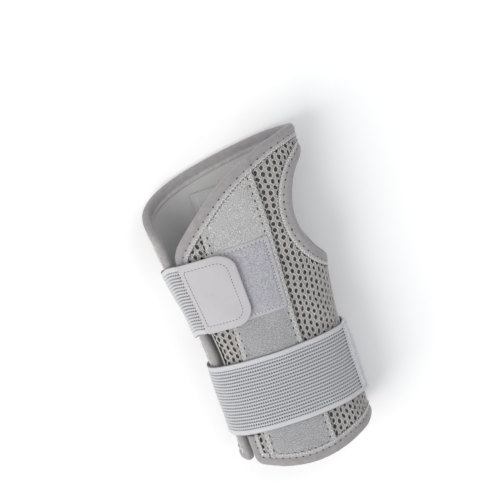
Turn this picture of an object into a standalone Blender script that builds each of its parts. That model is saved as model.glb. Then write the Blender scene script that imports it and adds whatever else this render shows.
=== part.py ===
"""Wrist splint for the right hand: a wrap-round support with a thumb hole, two straps and three stays.

Frame, in metres: +X towards the thumb side, +Y towards the fingers, +Z towards the palm. The splint lies
on the flat panel at the back of the hand. The origin is on that panel, half way along the length.

Each fabric piece is drawn flat, as a tailor would, in millimetres: u runs round the arm from the middle
of the palm towards the thumb, y runs along the arm. The flat ply is then wrapped on the arm form, at a
depth d counted outwards from the outer face of the air mesh.
"""
import math

import bmesh
import bpy
import numpy as np

MM = 0.001

# arm section: a flat back, two round sides and a wide palm arc (mm)
BACK_HALF = 13.5                # half width of the flat back
SIDE_R = 22.5                   # radius of both sides
PALM_HALF_ANGLE = math.radians(25)
PALM_R = SIDE_R + BACK_HALF / math.sin(PALM_HALF_ANGLE)
PALM_ARC = PALM_R * PALM_HALF_ANGLE
SIDE_ARC = SIDE_R * (math.pi - PALM_HALF_ANGLE)
HALF_GIRTH = PALM_ARC + SIDE_ARC + BACK_HALF
PALM_HEIGHT = 2 * SIDE_R + BACK_HALF * math.tan(PALM_HALF_ANGLE / 2)
HAND_WIDENING = 0.235           # the hand is wider than the wrist by this share
WIDENING_START = -24.5
WIDENING_LENGTH = 80.0
MID_THICKNESS = 0.94
THICKNESS_TAPER = 0.0008        # the section gets flatter towards the fingers, per mm
BACK_LIFT = 1.1                 # air mesh on the back stands this far off the table

# lengthwise outline (mm)
END_Y = 84.0                    # half the length of the splint
HEM_DIP = 4.0
FOLD_U = PALM_ARC + SIDE_R * (math.pi / 2 - PALM_HALF_ANGLE)     # the thumb side line
FOLD_GAP = 0.3
PALM_SLIT = -32.0               # free edge of the palm half
BACK_SLIT = 2 * HALF_GIRTH + PALM_SLIT - 4.0       # free edge of the back half, 4 mm away
BINDING = 7.0                   # width of the edge binding
THUMB_BINDING = 6.0
GAP = 0.3                       # clearance between neighbouring pieces
THUMB_Y = 41.0
THUMB_HALF_U = 22.6
THUMB_HALF_Y = 27.0
STRAP_WIDTH = 38.5

# ply depths from the outer face of the air mesh, inner then outer (mm)
MESH = (-2.2, 0.0)
LINING = (-3.1, -2.5)
EDGE = (-3.1, 0.5)
PANEL = (0.3, 1.1)
TAPE = (0.3, 1.0)
PATCH = (1.4, 2.0)
STRAP = (2.0, 3.2)
ANCHOR = (0.3, 1.6)
TAB = (3.5, 4.6)
TAB_HOOK = (2.3, 3.2)
SIDE_PATCH = (0.3, 0.8)
TIP_HOOK = (1.1, 1.7)

# straps (mm)
WRIST_Y = -41.6                 # centre line of the wrist strap
HAND_Y = 15.6                   # centre line of the hand strap
ANCHOR_U = -76.0                # where the sewn ends start, on the little finger side of the back
LIFT_U = -64.0                  # fold line of both straps
TAB_U = -31.0                   # fold line of the hand tab
TAB_END_U = -5.0
TAB_CORNER = 9.0
TIP_U = 44.0                    # fold line of the wrist strap's end
TIP_END_U = 60.0

# stays (mm)
PALM_STAY_HALF = 10.0
PALM_STAY = (-70.0, 42.0)
PALM_STAY_R = 70.0
PALM_STAY_DEPTH = (-5.3, -3.9)
PALM_STAY_CREASES = (-5.0, 0.0, 5.0)
PALM_POCKET_HALF = 13.5
PALM_POCKET = (-76.0, 45.0)
PALM_POCKET_DEPTH = (-6.6, -6.0)
BACK_STAY_X = 8.0
BACK_STAY_HALF = 3.4
BACK_STAY = (-72.0, 60.0)
BACK_STAY_DEPTH = (-4.9, -3.9)
BACK_POCKET = (-75.5, 64.0)
BACK_POCKET_DEPTH = (-5.8, -5.2)
STAY_CAP = 12.0                 # length of each dipped end cap
BACK_STAY_CORNER = 3.0

# flat patterns (mm)
PALM_PANEL_U = 10.5             # radial edge of the palm panel
BACK_PANEL_HALF = 15.5
TAPE_WIDTH = 3.0
LOOP_PATCH = (-16.5, 11.5, HAND_Y - 18.0, HAND_Y + 20.0)
SIDE_PATCH_U = (2.0, 20.0)      # measured from the thumb side line
BACKING_END_U = -20.5           # the elastic's end inside the hand tab
PALM_TUNNEL_HALF = 12.0
BACK_TUNNEL = (2.8, 12.8)       # near and far side of each back stay's tunnel, from the middle
BACK_POCKET_HALF = 14.5
EDGE_CORNER = (3.5, 1.0, 1.5, 5.5)    # how a free edge's corners are rounded
SQUARE = 1.0                    # corner radius passed where no corner is rounded

# where the flat plies are creased as they wrap round the form (mm)
PALM_CREASES = [8.0 * i for i in range(4)]
SIDE_CREASES = [PALM_ARC + SIDE_ARC * i / 12 for i in range(13)]
HALF_CREASES = PALM_CREASES[:3] + SIDE_CREASES + [HALF_GIRTH]
CREASES_U = sorted([-u for u in HALF_CREASES[1:]] + HALF_CREASES
                   + [2 * HALF_GIRTH - u for u in HALF_CREASES[:-1]])
CREASES_Y = [-120.0, WIDENING_START] + [WIDENING_START + 16.0 * i for i in range(1, 6)] + [120.0]

FABRIC_GREY = (0.45, 0.45, 0.46)
KNIT_GREY = (0.40, 0.40, 0.41)
VELOUR_GREY = (0.50, 0.51, 0.52)
LOOP_LILAC = (0.48, 0.48, 0.53)
TAB_LILAC = (0.60, 0.59, 0.61)
ELASTIC_GREY = (0.47, 0.47, 0.49)
HOOK_GREY = (0.42, 0.42, 0.45)
METAL_GREY = (0.75, 0.76, 0.78)
CAP_WHITE = (0.85, 0.85, 0.84)


def new_collection(name):
    collection = bpy.data.collections.new(name)
    bpy.context.scene.collection.children.link(collection)
    return collection


def material(name, colour, roughness=0.9, metallic=0.0):
    made = bpy.data.materials.get(name)
    if made is None:
        made = bpy.data.materials.new(name)
        made.use_nodes = True
        shader = made.node_tree.nodes["Principled BSDF"]
        shader.inputs["Base Color"].default_value = (*colour, 1.0)
        shader.inputs["Roughness"].default_value = roughness
        shader.inputs["Metallic"].default_value = metallic
        made.diffuse_color = (*colour, 1.0)
    return made


# ---- the arm form ----------------------------------------------------------------------------------

def widening(y):
    t = min(max((y - WIDENING_START) / WIDENING_LENGTH, 0.0), 1.0)
    return 1.0 + HAND_WIDENING * t * t * (3.0 - 2.0 * t)


def thickness(y):
    return MID_THICKNESS - THICKNESS_TAPER * y


def section(u):
    """x, z and outward normal of the plain section, u from the palm's middle towards the thumb side."""
    side = 1.0 if 0.0 <= u <= HALF_GIRTH else -1.0
    a = abs(u) if abs(u) <= HALF_GIRTH else 2 * HALF_GIRTH - abs(u)
    if a <= PALM_ARC:
        angle = a / PALM_R
        x = PALM_R * math.sin(angle)
        z = PALM_HEIGHT - PALM_R * (1.0 - math.cos(angle))
    elif a <= PALM_ARC + SIDE_ARC:
        angle = PALM_HALF_ANGLE + (a - PALM_ARC) / SIDE_R
        x = BACK_HALF + SIDE_R * math.sin(angle)
        z = SIDE_R * (1.0 + math.cos(angle))
    else:
        angle = math.pi
        x = HALF_GIRTH - a
        z = 0.0
    return side * x, z, side * math.sin(angle), math.cos(angle)


def form(u, y, d):
    """Point on the arm form, d millimetres outside the air mesh."""
    x, z, nx, nz = section(u)
    wide, thick = widening(y), thickness(y)
    ax, az = nx / wide, nz / thick
    length = math.hypot(ax, az)
    return np.array([wide * x + d * ax / length, y, BACK_LIFT + thick * z + d * az / length])


def wrap(u, y, d):
    """The form between its creases, so that plies at different depths stay parallel."""
    i = min(max(int(np.searchsorted(CREASES_U, u + 1e-6)) - 1, 0), len(CREASES_U) - 2)
    j = min(max(int(np.searchsorted(CREASES_Y, y + 1e-6)) - 1, 0), len(CREASES_Y) - 2)
    u0, u1, y0, y1 = CREASES_U[i], CREASES_U[i + 1], CREASES_Y[j], CREASES_Y[j + 1]
    s, t = (u - u0) / (u1 - u0), (y - y0) / (y1 - y0)
    low = (1 - s) * form(u0, y0, d) + s * form(u1, y0, d)
    high = (1 - s) * form(u0, y1, d) + s * form(u1, y1, d)
    return (1 - t) * low + t * high


# ---- flat outlines ---------------------------------------------------------------------------------

def catmull(points, steps=4):
    """Smooth open curve through a few points."""
    p = [2 * np.array(points[0]) - points[1]] + [np.array(q) for q in points]
    p.append(2 * p[-1] - p[-2])
    out = []
    for k in range(1, len(p) - 2):
        for n in range(steps):
            t = n / steps
            out.append(0.5 * (2 * p[k] + (p[k + 1] - p[k - 1]) * t
                              + (2 * p[k - 1] - 5 * p[k] + 4 * p[k + 1] - p[k + 2]) * t ** 2
                              + (3 * p[k] - p[k - 1] - 3 * p[k + 1] + p[k + 2]) * t ** 3))
    out.append(p[-2])
    return np.array(out, dtype=float)


def inset(curve, amount):
    """Curve moved sideways, to the right of its direction."""
    along = np.gradient(curve, axis=0)
    along /= np.linalg.norm(along, axis=1)[:, None]
    return curve + amount * np.stack([along[:, 1], -along[:, 0]], axis=1)


def arc(cx, cy, radius, start, end, steps=5):
    """Points on an arc between two angles in degrees."""
    return [(cx + radius * math.cos(math.radians(a)), cy + radius * math.sin(math.radians(a)))
            for a in np.linspace(start, end, steps)]


def ellipse(half_u, half_y, start, end, steps):
    """Points on an ellipse round the thumb hole between two angles in degrees."""
    return [(FOLD_U + half_u * math.cos(math.radians(a)), THUMB_Y + half_y * math.sin(math.radians(a)))
            for a in np.linspace(start, end, steps)]


def hem(u):
    """The forearm end dips at the middle of the palm and of the back."""
    return HEM_DIP - END_Y - HEM_DIP * math.cos(math.pi * (u - 2.0) / FOLD_U)


# both hand ends run from the free edge towards the thumb side
PALM_HAND = catmull([(-36.0, 35.0), (-18.0, 53.0), (0.0, 69.0), (20.0, 79.6), (37.0, 83.5), (52.0, END_Y)])
BACK_HAND = catmull([(164.0, 44.0), (150.0, 59.0), (130.0, 70.0), (105.0, 78.0), (75.0, 83.0), (47.0, END_Y)])


def palm_hand(u, amount=0.0):
    line = inset(PALM_HAND, amount)
    return float(np.interp(u, line[:, 0], line[:, 1]))


def back_hand(u, amount=0.0):
    line = inset(BACK_HAND, -amount)[::-1]
    return float(np.interp(u, line[:, 0], line[:, 1]))


def spread(start, end, step=8.0):
    count = max(2, int(math.ceil(abs(end - start) / step)) + 1)
    return [float(v) for v in np.linspace(start, end, count)]


def between(low, high, low_u, high_u):
    """Closed outline: along the low curve over low_u, then back along the high curve over high_u."""
    return [(u, low(u)) for u in spread(*low_u)] + [(u, high(u)) for u in spread(*high_u)[::-1]]


def rounded_bar(u0, u1, y0, y1, radius, corners):
    """Rectangle with some corners rounded; corners holds 'left', 'right' or both."""
    out = []
    if "left" in corners:
        out += arc(u0 + radius, y0 + radius, radius, 180, 270)
    else:
        out.append((u0, y0))
    if "right" in corners:
        out += arc(u1 - radius, y0 + radius, radius, 270, 360)
        out += arc(u1 - radius, y1 - radius, radius, 0, 90)
    else:
        out += [(u1, y0), (u1, y1)]
    if "left" in corners:
        out += arc(u0 + radius, y1 - radius, radius, 90, 180)
    else:
        out.append((u0, y1))
    return out


# ---- solids ----------------------------------------------------------------------------------------

def flat_solid(name, outline, depths, holes=()):
    """Closed solid of a flat outline, still flat, with z for depth."""
    curve = bpy.data.curves.new(name, "CURVE")
    curve.dimensions = "2D"
    curve.fill_mode = "BOTH"
    curve.extrude = 0.5 * (depths[1] - depths[0]) * MM
    for ring in [outline, *holes]:
        spline = curve.splines.new("POLY")
        spline.points.add(len(ring) - 1)
        for point, (u, y) in zip(spline.points, ring):
            point.co = (u * MM, y * MM, 0.0, 1.0)
        spline.use_cyclic_u = True
    holder = bpy.data.objects.new(name, curve)
    bpy.context.scene.collection.objects.link(holder)
    graph = bpy.context.evaluated_depsgraph_get()
    mesh = bpy.data.meshes.new_from_object(holder.evaluated_get(graph))
    mesh.name = name
    bpy.data.objects.remove(holder)
    bpy.data.curves.remove(curve)
    bm = bmesh.new()
    bm.from_mesh(mesh)
    bmesh.ops.remove_doubles(bm, verts=bm.verts, dist=1e-6)
    bmesh.ops.dissolve_limit(bm, angle_limit=0.001, verts=bm.verts, edges=bm.edges)
    bmesh.ops.translate(bm, verts=bm.verts, vec=(0.0, 0.0, 0.5 * (depths[0] + depths[1]) * MM))
    bmesh.ops.recalc_face_normals(bm, faces=bm.faces)
    return mesh, bm


def cut(bm, axis, places):
    """Crease the flat solid at each place along an axis."""
    normal = [0.0, 0.0, 0.0]
    normal[axis] = 1.0
    values = [v.co[axis] for v in bm.verts]
    for place in places:
        at = place * MM
        if min(values) + 1e-5 < at < max(values) - 1e-5:
            spot = [0.0, 0.0, 0.0]
            spot[axis] = at
            geometry = list(bm.verts) + list(bm.edges) + list(bm.faces)
            bmesh.ops.bisect_plane(bm, geom=geometry, dist=1e-7, plane_co=spot, plane_no=normal)


def finish_solid(mesh, bm, shape, colour, collection):
    """Move each point by shape, and make the node."""
    bmesh.ops.triangulate(bm, faces=bm.faces)
    for v in bm.verts:
        u, y, d = (c / MM for c in v.co)
        v.co = [float(c) * MM for c in shape(u, y, d)]
    bm.normal_update()
    bmesh.ops.recalc_face_normals(bm, faces=bm.faces)
    bm.to_mesh(mesh)
    bm.free()
    mesh.materials.append(material(*colour))
    made = bpy.data.objects.new(mesh.name, mesh)
    collection.objects.link(made)
    return made


def ply(name, outline, depths, colour, collection, holes=()):
    """One fabric piece, cut flat and wrapped on the arm form."""
    mesh, bm = flat_solid(name, outline, depths, holes)
    cut(bm, 0, CREASES_U)
    cut(bm, 1, CREASES_Y)
    return finish_solid(mesh, bm, wrap, colour, collection)


def subtract(bm_mesh, cutters):
    """Exact Boolean difference of flat meshes, before wrapping."""
    base = bpy.data.objects.new("base", bm_mesh)
    bpy.context.scene.collection.objects.link(base)
    for n, cutter_mesh in enumerate(cutters):
        cutter = bpy.data.objects.new(f"cutter_{n}", cutter_mesh)
        bpy.context.scene.collection.objects.link(cutter)
        hollow = base.modifiers.new(f"tunnel_{n}", "BOOLEAN")
        hollow.operation = "DIFFERENCE"
        hollow.solver = "EXACT"
        hollow.object = cutter
    graph = bpy.context.evaluated_depsgraph_get()
    result = bpy.data.meshes.new_from_object(base.evaluated_get(graph))
    for used in [base] + [m.object for m in base.modifiers]:
        bpy.data.meshes.remove(used.data)
    bm = bmesh.new()
    bm.from_mesh(result)
    return result, bm


def box_mesh(name, low, high):
    """Plain box between two corners in millimetres."""
    bm = bmesh.new()
    bmesh.ops.create_cube(bm, size=1.0)
    for v in bm.verts:
        v.co = [(a + (c + 0.5) * (b - a)) * MM for a, b, c in zip(low, high, v.co)]
    mesh = bpy.data.meshes.new(name)
    bm.to_mesh(mesh)
    bm.free()
    return mesh


def pocket(name, u0, u1, ends, depths, tunnels, colour, collection):
    """Stay pocket: a patch sewn down beside each tunnel, open at the forearm end."""
    outer = box_mesh(name, (u0, ends[0], depths[0]), (u1, ends[1], LINING[0] - GAP))
    cutters = [box_mesh(f"tunnel_{k}", (a, ends[0] - 5.0, depths[1]), (b, ends[1] - 1.5, LINING[0]))
               for k, (a, b) in enumerate(tunnels)]
    mesh, bm = subtract(outer, cutters)
    mesh.name = name
    mesh.materials.clear()
    cut(bm, 0, CREASES_U)
    cut(bm, 1, CREASES_Y)
    return finish_solid(mesh, bm, wrap, colour, collection)


# ---- the palm half ---------------------------------------------------------------------------------

def palm_field(edge, hand, low):
    """Outline inside the palm half, moved in from the free edge, the hand end and the hem."""
    reach = (PALM_SLIT + edge, FOLD_U - FOLD_GAP / 2)
    return between(lambda u: hem(u) + low, lambda u: palm_hand(u, hand), reach, reach)


def without_thumb(outline, half_u, half_y, palm):
    """Cut the thumb hole's half ellipse out of an outline that ends on the thumb side line."""
    edge = FOLD_U - FOLD_GAP / 2 if palm else FOLD_U + FOLD_GAP / 2
    notch = ellipse(half_u, half_y, 270 if palm else -90, 90, 17)
    notch = [(edge, notch[0][1])] + notch[1:-1] + [(edge, notch[-1][1])]
    split = next(i for i, (u, y) in enumerate(outline) if abs(u - edge) < 1e-6 and y > 0.0)
    if palm:
        return outline[:split] + notch + outline[split:]
    return outline[:split + 1] + notch[::-1] + outline[split + 1:]


def thumb_ring(palm):
    """Binding round the thumb hole, half a ring."""
    edge = FOLD_U - FOLD_GAP / 2 if palm else FOLD_U + FOLD_GAP / 2
    outer_u, outer_y = THUMB_HALF_U + THUMB_BINDING, THUMB_HALF_Y + THUMB_BINDING
    start, end = (270, 90) if palm else (-90, 90)
    inner = ellipse(THUMB_HALF_U, THUMB_HALF_Y, start, end, 17)
    outer = ellipse(outer_u, outer_y, start, end, 17)
    inner[0], inner[-1] = (edge, inner[0][1]), (edge, inner[-1][1])
    outer[0], outer[-1] = (edge, outer[0][1]), (edge, outer[-1][1])
    return inner + outer[::-1]


def free_edge(slit, inward, hand):
    """Binding down a free edge, with both corners rounded; inward is +1 or -1 along u."""
    far, near, drop, start = EDGE_CORNER
    inner, turn, brow = slit + inward * BINDING, slit + inward * far, slit + inward * near
    outline = [(inner, hem(inner)), (inner, hand(inner)), (turn, hand(turn)), (brow, hand(slit) - drop)]
    outline += [(slit, hand(slit) - start), (slit, hem(slit) + start), (brow, hem(slit) + drop)]
    outline.append((turn, hem(turn)))
    return outline


def palm_panel_left(y):
    return -18.0 + 0.055 * y


def palm_half(c):
    thumb_u = THUMB_HALF_U + THUMB_BINDING + GAP
    thumb_y = THUMB_HALF_Y + THUMB_BINDING + GAP
    body = palm_field(BINDING + GAP, BINDING + GAP, BINDING + GAP)
    body = without_thumb(body, thumb_u, thumb_y, True)
    ply("palm_mesh", body, MESH, ("air_mesh", FABRIC_GREY), c)
    ply("palm_lining", body, LINING, ("lining", FABRIC_GREY), c)
    knit = ("binding", KNIT_GREY)
    reach = (PALM_SLIT + BINDING + GAP, FOLD_U - FOLD_GAP / 2)
    ply("thumb_binding_palm", thumb_ring(True), EDGE, knit, c)
    ply("palm_hem_binding", between(hem, lambda u: hem(u) + BINDING, reach, reach), EDGE, knit, c)
    hand = between(lambda u: palm_hand(u, BINDING), palm_hand, reach, reach)
    ply("palm_hand_binding", hand, EDGE, knit, c)
    ply("palm_edge_binding", free_edge(PALM_SLIT, 1.0, palm_hand), EDGE, knit, c)

    velour, tape = ("velour", VELOUR_GREY), ("seam_tape", KNIT_GREY)
    top_line = lambda u: palm_hand(u, BINDING + GAP)
    low_line = lambda u: hem(u) + BINDING + GAP
    low, high = palm_panel_left(-76.0), palm_panel_left(50.0)
    step = TAPE_WIDTH + GAP
    panel = between(low_line, top_line, (low + step, PALM_PANEL_U), (high + step, PALM_PANEL_U))
    ply("palm_panel", panel, PANEL, velour, c)
    ulnar = between(low_line, top_line, (low, low + TAPE_WIDTH), (high, high + TAPE_WIDTH))
    ply("palm_seam_tape_ulnar", ulnar, TAPE, tape, c)
    radial_u = (PALM_PANEL_U + GAP, PALM_PANEL_U + GAP + TAPE_WIDTH)
    ply("palm_seam_tape_radial", between(low_line, top_line, radial_u, radial_u), TAPE, tape, c)
    ply("palm_loop_patch", rounded_bar(*LOOP_PATCH, SQUARE, ()), PATCH, ("loop_patch", LOOP_LILAC), c)


def palm_stay_shape(x, y, d):
    """A straight stay, dished across and lying along the sloping palm."""
    top = BACK_LIFT + PALM_HEIGHT * thickness(y)
    return x, y, top - x * x / (2 * PALM_STAY_R) + d


def palm_stay(c):
    y0, y1 = PALM_STAY
    half = PALM_STAY_HALF
    pocket("palm_stay_pocket", -PALM_POCKET_HALF, PALM_POCKET_HALF, PALM_POCKET, PALM_POCKET_DEPTH,
           [(-PALM_TUNNEL_HALF, PALM_TUNNEL_HALF)], ("lining", FABRIC_GREY), c)
    low, high = y0 + STAY_CAP, y1 - STAY_CAP
    strip = rounded_bar(-half, half, low, high, SQUARE, ())
    low_cap = arc(0.0, y0 + half, half, 180, 360, 9) + [(half, low - GAP), (-half, low - GAP)]
    high_cap = [(-half, high + GAP), (half, high + GAP)] + arc(0.0, y1 - half, half, 0, 180, 9)
    dipped = ("dipped_cap", CAP_WHITE, 0.4)
    pieces = [("palm_stay", strip, ("aluminium", METAL_GREY, 0.4, 1.0)),
              ("palm_stay_cap_forearm", low_cap, dipped),
              ("palm_stay_cap_hand", high_cap, dipped)]
    for name, outline, finish in pieces:
        mesh, bm = flat_solid(name, outline, PALM_STAY_DEPTH)
        cut(bm, 0, PALM_STAY_CREASES)
        finish_solid(mesh, bm, palm_stay_shape, finish, c)


# ---- the back half ---------------------------------------------------------------------------------

def flat_back(x, y, d):
    """The back of the splint is flat, so a stay there is not bent."""
    return x, y, BACK_LIFT - d


def back_half(c):
    reach = (FOLD_U + FOLD_GAP / 2, BACK_SLIT - BINDING - GAP)
    low_line = lambda u: hem(u) + BINDING + GAP
    top_line = lambda u: back_hand(u, BINDING + GAP)
    body = between(low_line, lambda u: back_hand(u, BINDING + 1.5 * GAP), reach, reach)
    thumb_u = THUMB_HALF_U + THUMB_BINDING + GAP
    thumb_y = THUMB_HALF_Y + THUMB_BINDING + GAP
    body = without_thumb(body, thumb_u, thumb_y, False)
    ply("back_mesh", body, MESH, ("air_mesh", FABRIC_GREY), c)
    ply("back_lining", body, LINING, ("lining", FABRIC_GREY), c)
    knit = ("binding", KNIT_GREY)
    ply("thumb_binding_back", thumb_ring(False), EDGE, knit, c)
    ply("back_hem_binding", between(hem, lambda u: hem(u) + BINDING, reach, reach), EDGE, knit, c)
    ply("back_hand_binding", between(lambda u: back_hand(u, BINDING), back_hand, reach, reach), EDGE, knit, c)
    ply("back_edge_binding", free_edge(BACK_SLIT, -1.0, back_hand), EDGE, knit, c)

    middle = HALF_GIRTH
    across = (middle - BACK_PANEL_HALF, middle + BACK_PANEL_HALF)
    ply("back_panel", between(low_line, top_line, across, across), PANEL, ("velour", VELOUR_GREY), c)
    starts = {"back_seam_tape_radial": across[0] - GAP - TAPE_WIDTH, "back_seam_tape_ulnar": across[1] + GAP}
    for name, start in starts.items():
        width = (start, start + TAPE_WIDTH)
        ply(name, between(low_line, top_line, width, width), TAPE, ("seam_tape", KNIT_GREY), c)
    patch = rounded_bar(FOLD_U + SIDE_PATCH_U[0], FOLD_U + SIDE_PATCH_U[1], WRIST_Y - 19.0, WRIST_Y + 19.0,
                        SQUARE, ())
    ply("side_loop_patch", patch, SIDE_PATCH, ("loop_patch", LOOP_LILAC), c)
    near, far = BACK_TUNNEL
    pocket("back_stay_pocket", middle - BACK_POCKET_HALF, middle + BACK_POCKET_HALF, BACK_POCKET,
           BACK_POCKET_DEPTH, [(middle - far, middle - near), (middle + near, middle + far)],
           ("lining", FABRIC_GREY), c)
    for name, centre in (("back_stay_radial", BACK_STAY_X), ("back_stay_ulnar", -BACK_STAY_X)):
        left, right = centre - BACK_STAY_HALF, centre + BACK_STAY_HALF
        outline = rounded_bar(left, right, *BACK_STAY, BACK_STAY_CORNER, ("left", "right"))
        mesh, bm = flat_solid(name, outline, BACK_STAY_DEPTH)
        finish_solid(mesh, bm, flat_back, ("spring_steel", METAL_GREY, 0.35, 1.0), c)


# ---- the straps ------------------------------------------------------------------------------------

def straps(c):
    elastic = ("elastic", ELASTIC_GREY)
    hook = ("hook_tape", HOOK_GREY)
    half = STRAP_WIDTH / 2
    for name, y in (("wrist_strap_anchor", WRIST_Y), ("hand_strap_anchor", HAND_Y)):
        outline = rounded_bar(ANCHOR_U, LIFT_U - GAP, y - half, y + half, SQUARE, ())
        ply(name, outline, ANCHOR, elastic, c)
    low, high = WRIST_Y - half, WRIST_Y + half
    ply("wrist_strap", rounded_bar(LIFT_U, TIP_U, low, high, SQUARE, ()), STRAP, elastic, c)
    ply("wrist_strap_tip", rounded_bar(TIP_U + GAP, TIP_END_U, low, high, 4.0, ("right",)), STRAP, elastic, c)
    tip_hook = rounded_bar(TIP_U + 6.0, TIP_END_U - 1.0, low + 1.5, high - 1.5, 3.0, ("right",))
    ply("wrist_strap_hook", tip_hook, TIP_HOOK, hook, c)
    low, high = HAND_Y - half, HAND_Y + half
    ply("hand_strap", rounded_bar(LIFT_U, TAB_U - GAP, low, high, SQUARE, ()), STRAP, elastic, c)
    tab = rounded_bar(TAB_U, TAB_END_U, low, high, TAB_CORNER, ("right",))
    ply("hand_tab", tab, TAB, ("tab", TAB_LILAC), c)
    backing = rounded_bar(TAB_U, BACKING_END_U, low + 0.5, high - 0.5, SQUARE, ())
    ply("hand_tab_backing", backing, STRAP, elastic, c)
    tab_hook = rounded_bar(BACKING_END_U + GAP, TAB_END_U - 2.0, low + 1.75, high - 1.75, 6.0, ("right",))
    ply("hand_tab_hook", tab_hook, TAB_HOOK, hook, c)


def main():
    for old in list(bpy.data.objects):
        bpy.data.objects.remove(old)
    collection = new_collection("wrist_splint")
    palm_half(collection)
    palm_stay(collection)
    back_half(collection)
    straps(collection)


main()
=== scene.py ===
"""Wrist splint: air mesh, velour, bindings, elastic straps and stays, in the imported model's frame.

Every fabric piece is drawn flat, as a tailor would, in millimetres: u runs round the arm from the middle
of the palm towards the thumb, y runs along the arm, and d is the height above the outer face of the air
mesh. form() then wraps the flat piece on the arm form, with the same numbers as the CAD model.
"""
import math

import bmesh
import bpy
import numpy as np
from mathutils import Matrix, Vector


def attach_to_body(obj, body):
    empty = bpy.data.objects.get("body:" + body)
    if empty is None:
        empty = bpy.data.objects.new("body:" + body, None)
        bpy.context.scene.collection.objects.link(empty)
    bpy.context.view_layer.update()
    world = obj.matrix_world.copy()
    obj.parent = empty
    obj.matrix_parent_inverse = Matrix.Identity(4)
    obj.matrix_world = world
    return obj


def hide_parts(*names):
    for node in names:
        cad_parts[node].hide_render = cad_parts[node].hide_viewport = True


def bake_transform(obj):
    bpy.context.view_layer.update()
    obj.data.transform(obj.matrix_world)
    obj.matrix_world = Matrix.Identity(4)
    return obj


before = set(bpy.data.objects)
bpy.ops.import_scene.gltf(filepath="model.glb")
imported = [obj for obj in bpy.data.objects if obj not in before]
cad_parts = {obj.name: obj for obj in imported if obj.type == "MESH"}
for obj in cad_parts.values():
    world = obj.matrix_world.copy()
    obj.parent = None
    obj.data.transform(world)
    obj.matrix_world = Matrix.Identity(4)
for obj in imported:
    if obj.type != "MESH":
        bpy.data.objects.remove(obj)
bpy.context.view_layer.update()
rng = np.random.default_rng(11)
MM = 0.001

# ---- the arm form, as in the CAD model (mm) ----

BACK_HALF = 13.5
SIDE_R = 22.5
PALM_HALF_ANGLE = math.radians(25)
PALM_R = SIDE_R + BACK_HALF / math.sin(PALM_HALF_ANGLE)
PALM_ARC = PALM_R * PALM_HALF_ANGLE
HALF_GIRTH = PALM_ARC + SIDE_R * (math.pi - PALM_HALF_ANGLE) + BACK_HALF
PALM_HEIGHT = 2 * SIDE_R + BACK_HALF * math.tan(PALM_HALF_ANGLE / 2)
HAND_WIDENING = 0.235
WIDENING_START = -24.5
WIDENING_LENGTH = 80.0
MID_THICKNESS = 0.94
THICKNESS_TAPER = 0.0008
BACK_LIFT = 1.1

END_Y = 84.0
HEM_DIP = 4.0
FOLD_U = PALM_ARC + SIDE_R * (math.pi / 2 - PALM_HALF_ANGLE)
PALM_SLIT = -32.0
BACK_SLIT = 2 * HALF_GIRTH + PALM_SLIT - 4.0
THUMB_Y = 41.0
THUMB_HALF_U = 22.6
THUMB_HALF_Y = 27.0
WRIST_Y = -41.6
HAND_Y = 15.6
STRAP_HALF = 19.25
TAB_U = -31.0
TAB_END_U = -5.0
TIP_U = 38.4
TIP_END_U = 60.0
BLEND_U = 70.0                  # past the thumb side line, where the rigid back begins

# ---- flat patterns (mm) ----

RIPPLE = 0.42                   # height of the soft waves in the fabric
CELL_U = 3.05                   # air mesh: columns across
CELL_Y = 3.45                   # and pitch along each column
HOLE_U = 0.92                   # half width and half length of a hole
HOLE_Y = 1.16
YARN_SWING = 1.2                # how far the knit's yarns swing round the holes
YARN_R = 0.2
MESH_MARGIN = 3.4               # the mesh starts this far inside the folded edge
LAYER_MARGIN = 2.5              # and so do the inner layer and the lining
LAYER_STEP = 2.0
THUMB_RIM = 0.86                # share of the thumb hole's size from which their points move to its edge
PIECE_STEP = 2.5                # flat panels are cut into a grid of this spacing, so that they can bend
BINDING = 7.0
NEEDLE_ROW = 4.5                # from the folded edge to the row of needle holes
OVERLOCK_ROW = 6.35
SEAM_ROW = 7.2
SLIT_ROUND = 7.0                # how far the bindings' corners are eased
STRIP_TOPS = (60.0, 75.0)       # about where a panel's side lines meet the hand end
TAPE_HALF = 1.5
PALM_TAPES = (-16.5, 12.3)      # middles of the palm's seam tapes at y = 0
PALM_LEAN = 0.055               # the one on the little finger side leans towards the thumb
PALM_VELOUR = (-15.8, 11.6)     # the velour's edges at y = 0
BACK_PANEL_HALF = 16.4
BACK_TAPE = 17.3                # from the middle of the back to the middle of each seam tape
VELOUR_TUCK = BINDING - 1.2     # the panels' ends are this far inside the folded edge
TAPE_TUCK = BINDING - 1.0
POCKET_FACES = (-3.75, -3.25)   # heights of a stay pocket's two faces where it lies on the lining
STAY_ROOM = 2.35                # and how far it stands off where a stay is
SEWN_END_U = -76.0              # where the straps are sewn to the back
RISE_U = -71.0                  # and where they start to lift off it
RISE_LENGTH = 12.0
ELASTIC_STEP = 0.24
ELASTIC_THICKNESS = 1.15
RIBS = 19
RIB_ZONE = 32.6                 # ribbed width of the elastic, between its plain selvedges
BRAID_PITCH = 1.25              # length of one braid crossing along a rib

# stitches (mm): length, width, height
# the needle holes are dark beads that paint the shade in them
HOLE_SHADE_SIZE = (1.05, 0.86, 0.38)
LOCKSTITCH = (1.9, 0.42, 0.3)
OVERLOCK = (1.6, 0.38, 0.34)
ZIGZAG = (2.75, 0.36, 0.34)
RIB_END_SHADE = (1.1, 0.85, 0.5)
STITCH_SIDES = 6


def smooth(t):
    """From 0 to 1, without a corner at either end."""
    t = np.clip(t, 0.0, 1.0)
    return t * t * (3.0 - 2.0 * t)


def from_palm(u):
    """Distance round the arm from the middle of the palm, the shorter way."""
    return np.where(np.abs(u) <= HALF_GIRTH, np.abs(u), 2 * HALF_GIRTH - np.abs(u))


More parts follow.
